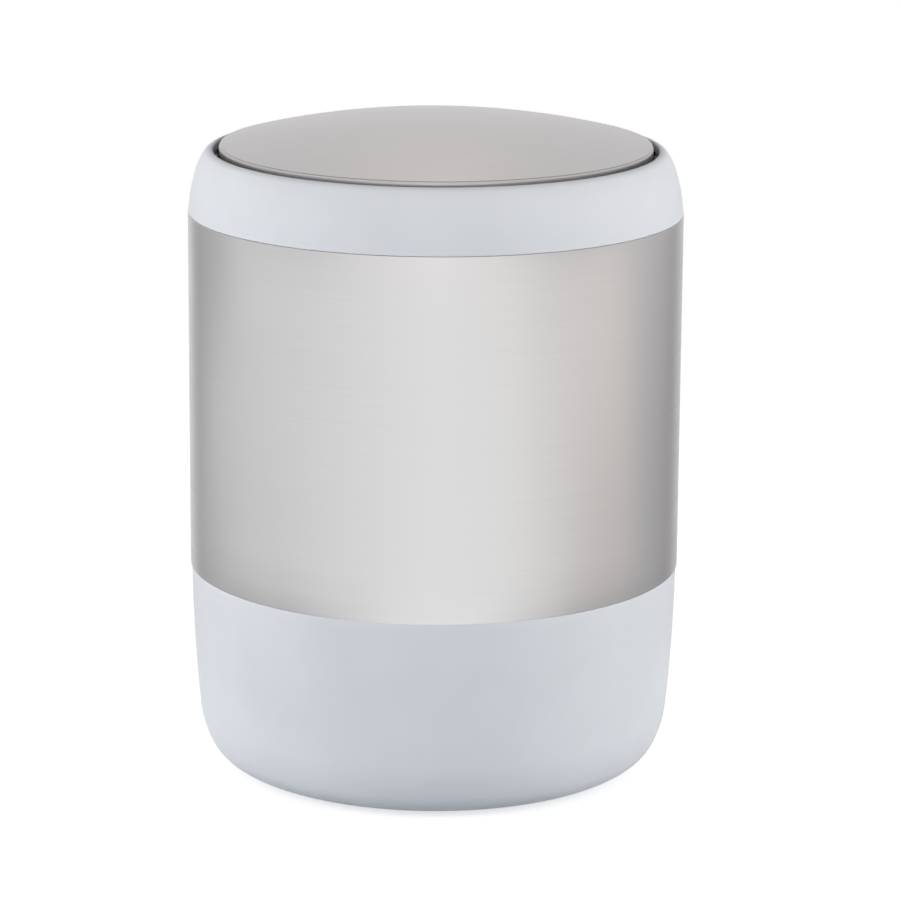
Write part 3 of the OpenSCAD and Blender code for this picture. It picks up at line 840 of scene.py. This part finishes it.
def collarOutline(s):
    side, shoulder, lip = collarArcs(s)
    lipTop, lipInner = lip[1] + s["lipCurve"], lip[0] - s["mouth"]
    outside = (
        arcPoints(side, s["sideCurve"], s["lean"], s["sideEnd"], 30)
        + arcPoints(shoulder, s["shoulderCurve"], s["sideEnd"], s["shoulderEnd"], 14)[1:]
        + arcPoints(lip, s["lipCurve"], s["shoulderEnd"], 90, 16)[1:]
        + arcPoints((lip[0], lipTop - lipInner), lipInner, 90, 180, 10)[1:]
    )
    inside = [(s["mouth"], lipTop - s["seatDrop"])] + collarInside(s, s["wall"])
    outside[:1] = rounded(inside[-1], outside[0], outside[3], s["edge"])
    inside[-1:] = rounded(inside[-4], inside[-1], outside[0], s["edge"])
    return outside + inside


collar = turned("collar", collarOutline(collarShape), finishes["whiteMoulding"], closed=True)
settle(collar, collarShape, "collar_shell")

bossShape = {
    "body": "collar", "slot": "white_moulding", "finish": "whiteMoulding",
    "count": 4, "first": 45, "ring": 75.9 * mm, "foot": 188.7 * mm,
    "radius": 2.1 * mm, "height": 8 * mm, "hole": 0.95 * mm, "depth": 6.5 * mm, "edge": 0.15 * mm,
    "envelopeFoot": 150 * mm,
}


def bossOutline(s):
    top, bottom = s["foot"] + s["height"], s["foot"]
    return [(0, top), (s["radius"], top)] + rounded(
        (s["radius"], top), (s["radius"], bottom), (s["hole"], bottom), s["edge"],
    ) + [(s["hole"], bottom), (s["hole"], bottom + s["depth"]), (0, bottom + s["depth"])]


def envelope(s, depth, foot):
    # everything inside the collar's outer face, less a depth, down to a foot below the bosses
    line = collarInside(s, depth)
    return turned("envelope", [(0, line[0][1])] + line + [(line[-1][0], foot), (0, foot)], None)


bosses = repeated(
    "screwBosses", turned("boss", bossOutline(bossShape), None),
    ringPlaces(bossShape["count"], bossShape["first"], bossShape["ring"], 0), finishes["whiteMoulding"],
)
combine(bosses, envelope(collarShape, collarShape["wall"] / 2, bossShape["envelopeFoot"]), "INTERSECT")
settle(bosses, bossShape)

frameShape = {"body": "collar", "slot": "dark_moulding", "finish": "darkMoulding", "edge": 0.18 * mm}
refined("lid_frame", "lidFrame", frameShape)
capShape = {"body": "collar", "slot": "dark_moulding", "finish": "darkMoulding", "edge": 0.15 * mm}
bushShape = {"body": "collar", "slot": "bearing_plastic", "finish": "bearingPlastic", "edge": 0.12 * mm}
for side in ("left", "right"):
    refined("bearing_cap_" + side, side + "BearingCap", capShape)
    refined("bush_" + side, side + "Bush", bushShape)
stopShape = {"body": "collar", "slot": "rubber", "finish": "rubber", "edge": 0.15 * mm}
refined("stop_sleeves", "stopSleeves", stopShape)
print("collar made")


# lid

lidShape = {
    "body": "lid", "slot": "lid_steel", "finish": "lidSteel", "flatMap": True,
    "radius": 70 * mm,
    "rise": 9.1 * mm,
    "sheet": 0.4 * mm,
    "flange": 3.2 * mm,
    # the dome ends in a small step above a rounded bead
    "step": 0.4 * mm,
    "stepFold": 0.14 * mm,
    "stepDrop": 0.16 * mm,
    "notch": 0.1 * mm,
    "bead": 1.1 * mm,
    "beadStart": 54,
    "insideCurve": 1.2 * mm,
    "tip": 0.36 * mm,
    "turnIn": 1.5 * mm,
    # openings in the turned-in foot over the two ears
    "notchStart": 58 * mm,
    "notchWidth": 23 * mm,
    "notchGap": 0.1 * mm,
    "notchOver": 0.02 * mm,
}


def lidOutline(s):
    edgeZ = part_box("lid_skin")[1].z - s["rise"]
    curve = (s["radius"] ** 2 + s["rise"] ** 2) / (2 * s["rise"])
    centre = (0, edgeZ + s["rise"] - curve)

    def corner(radius, fold, depth):
        # centre and first angle of a fold that ends the dome at a radius
        place = (radius - fold, centre[1] + math.sqrt((curve - depth - fold) ** 2 - (radius - fold) ** 2))
        return place, math.degrees(math.atan2(place[1] - centre[1], place[0]))

    inner, tip, foot = s["radius"] - s["sheet"], s["tip"], edgeZ - s["flange"]
    stepPlace, stepAngle = corner(s["radius"] - s["step"], s["stepFold"], 0)
    innerPlace, innerAngle = corner(inner, s["insideCurve"], s["sheet"])
    stepFoot = stepPlace[1] - s["stepDrop"]
    beadPlace = (s["radius"] - s["bead"], stepFoot - s["bead"] * math.sin(math.radians(s["beadStart"])))
    turnIn = s["radius"] - s["turnIn"]
    return (
        arcPoints(centre, curve, 90, stepAngle, 60)
        + arcPoints(stepPlace, s["stepFold"], stepAngle, 0, 5)[1:]
        + [(s["radius"] - s["step"] - s["notch"], stepFoot)]
        + arcPoints(beadPlace, s["bead"], s["beadStart"], 0, 12)
        + arcPoints((s["radius"] - tip, foot + tip), tip, 0, -90, 6)
        + [(turnIn, foot), (turnIn, foot + s["sheet"]), (inner, foot + s["sheet"])]
        + arcPoints(innerPlace, s["insideCurve"], 0, innerAngle, 8)
        + arcPoints(centre, curve - s["sheet"], innerAngle, 90, 40)[1:]
    )


lidTop = turned("lidTop", lidOutline(lidShape), finishes["lidSteel"])
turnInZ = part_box("lid_skin")[1].z - lidShape["rise"] - lidShape["flange"]
notchEnd = lidShape["radius"] - lidShape["sheet"] - lidShape["notchGap"]
for side in (-1, 1):
    ends = sorted((side * lidShape["notchStart"], side * notchEnd))
    combine(lidTop, block(
        (ends[0], -lidShape["notchWidth"] / 2, turnInZ - mm),
        (ends[1], lidShape["notchWidth"] / 2, turnInZ + lidShape["sheet"] + lidShape["notchOver"]),
    ))
settle(lidTop, lidShape, "lid_skin")

carrierShape = {"body": "lid", "slot": "dark_moulding", "finish": "darkMoulding", "edge": 0.15 * mm}
refined("lid_carrier", "lidCarrier", carrierShape)
pinShape = {"body": "lid", "slot": "pin_steel", "finish": "pinSteel", "edge": 0.08 * mm}
for side in ("left", "right"):
    refined("pivot_pin_" + side, side + "PivotPin", pinShape)
weightShape = {"body": "lid", "slot": "bar_steel", "finish": "barSteel", "edge": 0.35 * mm}
refined("counterweight", "counterweightBar", weightShape)
print("lid made")


# screws

screwSets = {
    "frameScrews": {
        "body": "collar", "slot": "zinc_screws", "finish": "zincScrews", "replaced": "frame_screws",
        "radius": 0.92 * mm, "length": 8 * mm, "pitch": 0.7 * mm,
        "headRadius": 1.8 * mm, "headHeight": 1.2 * mm,
        "places": ringPlaces(bossShape["count"], bossShape["first"], bossShape["ring"], 186.7 * mm),
    },
    "capScrews": {
        "body": "collar", "slot": "zinc_screws", "finish": "zincScrews", "replaced": "cap_screws",
        "radius": 0.77 * mm, "length": 8 * mm, "pitch": 0.6 * mm,
        "headRadius": 1.6 * mm, "headHeight": 1.1 * mm,
        "places": [(x * mm, y * mm, 181.9 * mm) for x in (-72.9, 72.9) for y in (-6.2, 6.2)],
    },
    "weightScrews": {
        "body": "lid", "slot": "zinc_screws", "finish": "zincScrews", "replaced": "counterweight_screws",
        "radius": 1.37 * mm, "length": 14.5 * mm, "pitch": 1 * mm,
        "headRadius": 2.6 * mm, "headHeight": 1.8 * mm,
        "places": [(x * mm, y * mm, 183.4 * mm) for x in (-62, 62) for y in (-5.5, 5.5)],
    },
}


def screwSet(name, s):
    part = newPiece("screw", bpy.data.meshes.new("screw"))
    runTree(part, crossScrew, {
        "Shank radius": s["radius"], "Shank length": s["length"], "Thread pitch": s["pitch"],
        "Head radius": s["headRadius"], "Head height": s["headHeight"], "Finish": finishes[s["finish"]],
    })
    settle(repeated(name, part, s["places"], finishes[s["finish"]]), s, s["replaced"])


for name, s in screwSets.items():
    screwSet(name, s)
print("screws made")


# bucket, bail and feet

bucketShape = {
    "body": "bucket", "slot": "bucket_plastic", "finish": "bucketPlastic",
    "base": 5.2 * mm,
    "footOut": 51 * mm,
    "footIn": 49.4 * mm,
    "flat": 58 * mm,
    "corner": 10 * mm,
    "wall": 1.6 * mm,
    "radius": 73 * mm,
    "rimTop": 164 * mm,
    "rimOut": 75.8 * mm,
    "rimDepth": 6 * mm,
    "edge": 0.4 * mm,
    "earEnd": 75.6 * mm,
    "earWidth": 12 * mm,
    "earRadius": 3.4 * mm,
    "pivotZ": 167.6 * mm,
    "pivotHole": 1.55 * mm,
}


def bucketOutline(s):
    low, base, wall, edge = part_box("inner_bucket")[0].z, s["base"], s["wall"], s["edge"]
    height = s["rimTop"] - base - s["corner"]
    taper = math.degrees(math.atan2(s["radius"] - s["flat"] - s["corner"], height))
    knee = (s["flat"], base + s["corner"])
    foot = roundedLine([
        (0, base), (s["footIn"], base), (s["footIn"], low), (s["footOut"], low), (s["footOut"], base),
        (s["flat"], base),
    ], edge)
    rimIn, top = s["rimOut"] - wall, s["rimTop"]
    side = arcPoints(knee, s["corner"], -90, -taper, 14)
    inner = arcPoints(knee, s["corner"] - wall, -taper, -90, 12)
    rim = roundedLine([
        side[-1], (s["radius"], top - wall), (rimIn, top - wall), (rimIn, top - s["rimDepth"]),
        (s["rimOut"], top - s["rimDepth"]), (s["rimOut"], top), (s["radius"] - wall, top), inner[0],
    ], edge)
    return foot[:-1] + side[:-1] + rim + inner[1:] + [(0, base + wall)]


bucket = turned("bucket", bucketOutline(bucketShape), finishes["bucketPlastic"])
for side in (-1, 1):
    ends = sorted((side * bucketShape["radius"], side * bucketShape["earEnd"]))
    pivot = bucketShape["pivotZ"]
    ear = block(
        (ends[0], -bucketShape["earWidth"] / 2, bucketShape["rimTop"] - mm),
        (ends[1], bucketShape["earWidth"] / 2, pivot - mm),
    )
    combine(ear, rod((ends[0], 0, pivot), (ends[1], 0, pivot), bucketShape["earRadius"]), "UNION")
    combine(bucket, ear, "UNION")
    combine(bucket, rod(
        (ends[0] - 2 * mm, 0, pivot), (ends[1] + 2 * mm, 0, pivot), bucketShape["pivotHole"],
    ))
settle(bucket, bucketShape, "inner_bucket")

restShape = {
    "body": "bucket", "slot": "bucket_plastic", "finish": "bucketPlastic",
    "angles": (55, 125), "ring": 71.8 * mm, "radius": 1.6 * mm, "top": 166 * mm, "edge": 0.3 * mm,
}


def restOutline(s, rimTop):
    # stud on the rim, on which the bail lies
    corner = rounded((s["radius"], rimTop), (s["radius"], s["top"]), (0, s["top"]), s["edge"])
    return [(0, rimTop - mm), (s["radius"], rimTop - mm)] + corner + [(0, s["top"])]


restPlaces = []
for angle in restShape["angles"]:
    restPlaces += ringPlaces(2, angle, restShape["ring"], 0)
rest = turned("rest", restOutline(restShape, bucketShape["rimTop"]), None)
settle(repeated("bailRests", rest, restPlaces, finishes["bucketPlastic"]), restShape)

wireShape = {"body": "bail", "slot": "pin_steel", "finish": "pinSteel", "edge": 0.1 * mm}
refined("bail_wire", "bailWire", wireShape)
gripShape = {"body": "bail", "slot": "dark_moulding", "finish": "darkMoulding", "edge": 0.4 * mm}
refined("bail_grip", "bailGrip", gripShape)
footShape = {"body": "bin", "slot": "rubber", "finish": "rubber", "edge": 0.25 * mm}
refined("foot_pads", "footPads", footShape)
print("bucket, bail and feet made")


# studio

studio = {
    "floorSize": 30,
    "floorTone": srgb(232, 232, 232),
    "floorBounce": srgb(128, 138, 150),
    "floorRoughness": 0.9,
    # lift by the distance from the bin, so that the shadow stays near it and the far floor is white
    "floorLift": {0.4: 0.6, 2.5: 0.76},
    # light of the sky by the height of the direction
    "sky": {0.0: (2.04, 2.07, 2.1), 0.26: (2.04, 2.07, 2.1), 0.4: 0.06, 1.0: 0.05},
    "backdrop": (1, 1, 1, 1),
    "panelAim": (0, 0, 0.12),
    "panelSize": (0.6, 0.8),
}

panels = {
    "leftPanel": {"place": (-1.13, -0.45, 0.52), "power": 6.9, "tone": (1.0, 0.99, 0.98)},
    "rightPanel": {"place": (1.13, -0.45, 0.52), "power": 6.5, "tone": (1.0, 0.98, 0.955)},
    "leftRim": {"place": (-0.98, 0.69, 0.55), "power": 0.6, "tone": (0.97, 0.985, 1.0)},
    "rightRim": {"place": (0.98, 0.69, 0.55), "power": 0.8, "tone": (1.0, 0.99, 0.98)},
}

# ring of glowing pale and grey cards, a light which only the steel and the gloss see, in their reflections
cards = {
    "radius": 0.17,
    "top": 1.0,
    "steps": 96,
    # bands at four heights, each with its tones by the angle in degrees, 0 in front and 90 at the right
    "low": 0.055,
    "lowTones": {
        -180: 1.0, -135: 0.85, -118: (0.38, 0.38, 0.39), -109: 0.49, -97: 0.57, -80: 0.69, -59: 0.73,
        -38: 0.82, 0: 0.95, 26: (0.92, 0.92, 0.915), 45: (0.79, 0.78, 0.77), 55: (0.67, 0.65, 0.64),
        67: (0.61, 0.58, 0.565), 78: (0.59, 0.57, 0.56), 90: (0.49, 0.485, 0.485),
        104: (0.41, 0.405, 0.41), 118: (0.33, 0.32, 0.33), 140: 0.8, 180: 1.0,
    },
    "middle": 0.10,
    "middleTones": {
        -180: 1.0, -135: 0.85, -118: (0.38, 0.38, 0.39), -97: 0.69, -71: 0.76, 0: 0.95,
        26: (0.92, 0.92, 0.915), 45: (0.82, 0.80, 0.79), 62: (0.745, 0.715, 0.70),
        74: (0.715, 0.685, 0.665), 90: (0.525, 0.52, 0.52), 104: (0.45, 0.445, 0.45),
        118: (0.32, 0.31, 0.32), 140: 0.8, 180: 1.0,
    },
    "high": 0.155,
    "highTones": {
        -180: 1.0, -135: 0.85, -118: (0.36, 0.36, 0.37), -109: 0.44, -96: 0.52, -90: 0.58, -80: 0.73,
        -71: 0.78, 0: 0.95, 26: (0.93, 0.93, 0.925), 45: (0.85, 0.83, 0.82), 67: (0.83, 0.80, 0.78),
        78: (0.72, 0.705, 0.69), 90: (0.60, 0.59, 0.59), 104: (0.50, 0.49, 0.50),
        118: (0.36, 0.35, 0.36), 140: 0.8, 180: 1.0,
    },
    "highTop": 0.178,
    "collar": 0.2,
    "collarTones": {
        -180: 0.9, -95: 0.62, -45: 0.45, -28: (0.8, 0.78, 0.76), 0: (1.15, 1.12, 1.1),
        28: (0.75, 0.72, 0.7), 45: 0.35, 95: 0.5, 180: 0.9,
    },
    # above the bands the ring is one canopy, with tones by height all round and at its middle behind
    "canopyFrom": 0.225,
    "canopyTo": 0.265,
    "canopy": {
        0.265: (0.81, 0.80, 0.81), 0.36: (0.81, 0.80, 0.805), 0.46: (0.88, 0.86, 0.84),
        0.66: (0.7, 0.69, 0.68), 0.76: 0.2, 0.95: 0.2,
    },
    "behindFrom": 150,
    "behindTo": 170,
    "behind": {
        0.265: (0.81, 0.80, 0.81), 0.32: (0.81, 0.80, 0.805), 0.44: (1.05, 1.02, 0.99),
        0.66: (1.05, 1.02, 0.99), 0.76: 0.2, 0.95: 0.2,
    },
}


def makeFloor(s):
    mesh = bpy.data.meshes.new("floor")
    half = s["floorSize"] / 2
    corners = [(-half, -half, 0), (half, -half, 0), (half, half, 0), (-half, half, 0)]
    mesh.from_pydata(corners, [], [(0, 1, 2, 3)])
    floor = newPiece("floor", mesh)
    finish = Finish("paleFloor")
    finish.fix(Roughness=s["floorRoughness"])
    # what the camera and mirrors see is lifted to the white backdrop, and the shadow stays
    seen, light = finish.seen(), finish.add("ShaderNodeEmission")
    finish.feed(Base_Color=finish.blend(seen, s["floorBounce"], s["floorTone"]))
    away = finish.add("ShaderNodeVectorMath", operation="LENGTH")
    finish.link(finish.coords(), away.inputs[0])
    finish.link(finish.ramp(away.outputs["Value"], s["floorLift"]), light.inputs["Color"])
    finish.link(seen, light.inputs["Strength"])
    both = finish.add("ShaderNodeAddShader")
    finish.link(finish.shader.outputs[0], both.inputs[0])
    finish.link(light.outputs[0], both.inputs[1])
    finish.show(both.outputs[0])
    mesh.materials.append(finish.material)


def makeCards(s):
    work = bmesh.new()
    bmesh.ops.create_cone(
        work, cap_ends=False, segments=s["steps"], radius1=s["radius"], radius2=s["radius"], depth=s["top"],
    )
    bmesh.ops.translate(work, vec=(0, 0, s["top"] / 2), verts=work.verts)
    ring = fromWork("cardRing", work)
    finish = Finish("cardTones")
    place = finish.split(finish.coords())
    turn = finish.math("ARCTAN2", place["X"], finish.math("MULTIPLY", place["Y"], -1))
    turn, height = finish.math("DEGREES", turn), place["Z"]
    around = finish.ramp(turn, s["lowTones"])
    for name, start in (("middle", "low"), ("high", "middle"), ("collar", "highTop")):
        tones = finish.ramp(turn, s[name + "Tones"])
        around = finish.blend(finish.span(height, s[start], s[name], 0, 1), around, tones)
    back = finish.span(finish.math("ABSOLUTE", turn), s["behindFrom"], s["behindTo"], 0, 1)
    canopy = finish.blend(back, finish.ramp(height, s["canopy"]), finish.ramp(height, s["behind"]))
    share = finish.span(height, s["canopyFrom"], s["canopyTo"], 0, 1)
    light = finish.add("ShaderNodeEmission")
    finish.link(finish.blend(share, around, canopy), light.inputs["Color"])
    finish.show(light.outputs[0])
    finish.material.cycles.emission_sampling = "NONE"
    ring.data.materials.append(finish.material)
    for sight in ("camera", "diffuse", "transmission", "volume_scatter", "shadow"):
        setattr(ring, "visible_" + sight, False)


def makeWorld(s):
    # the sky lights the bin, and the camera sees a white backdrop instead
    world = bpy.data.worlds.new("studioWorld")
    scene.world = world
    world.use_nodes = True
    world.node_tree.nodes.clear()
    graph = Graph(world.node_tree)
    around, backdrop = graph.add("ShaderNodeBackground"), graph.add("ShaderNodeBackground")
    way = graph.split(graph.add("ShaderNodeTexCoord").outputs["Generated"])
    graph.link(graph.ramp(way["Z"], s["sky"]), around.inputs["Color"])
    backdrop.inputs["Color"].default_value = s["backdrop"]
    pick, result = graph.add("ShaderNodeMixShader"), graph.add("ShaderNodeOutputWorld")
    graph.fill(pick.inputs, (graph.seen(), around.outputs[0], backdrop.outputs[0]))
    graph.link(pick.outputs[0], result.inputs["Surface"])


def makePanel(name, s, shared):
    lamp = bpy.data.lights.new(name, "AREA")
    lamp.shape = "RECTANGLE"
    lamp.size, lamp.size_y = shared["panelSize"]
    lamp.energy = s["power"]
    lamp.color = s["tone"]
    panel = newPiece(name, lamp)
    panel.location = s["place"]
    way = Vector(shared["panelAim"]) - Vector(s["place"])
    panel.rotation_euler = way.to_track_quat("-Z", "Y").to_euler()
    panel.visible_glossy = False


makeFloor(studio)
makeCards(cards)
makeWorld(studio)
for name, settings in panels.items():
    makePanel(name, settings, studio)
scene.view_settings.view_transform = "Standard"
print("studio lit")
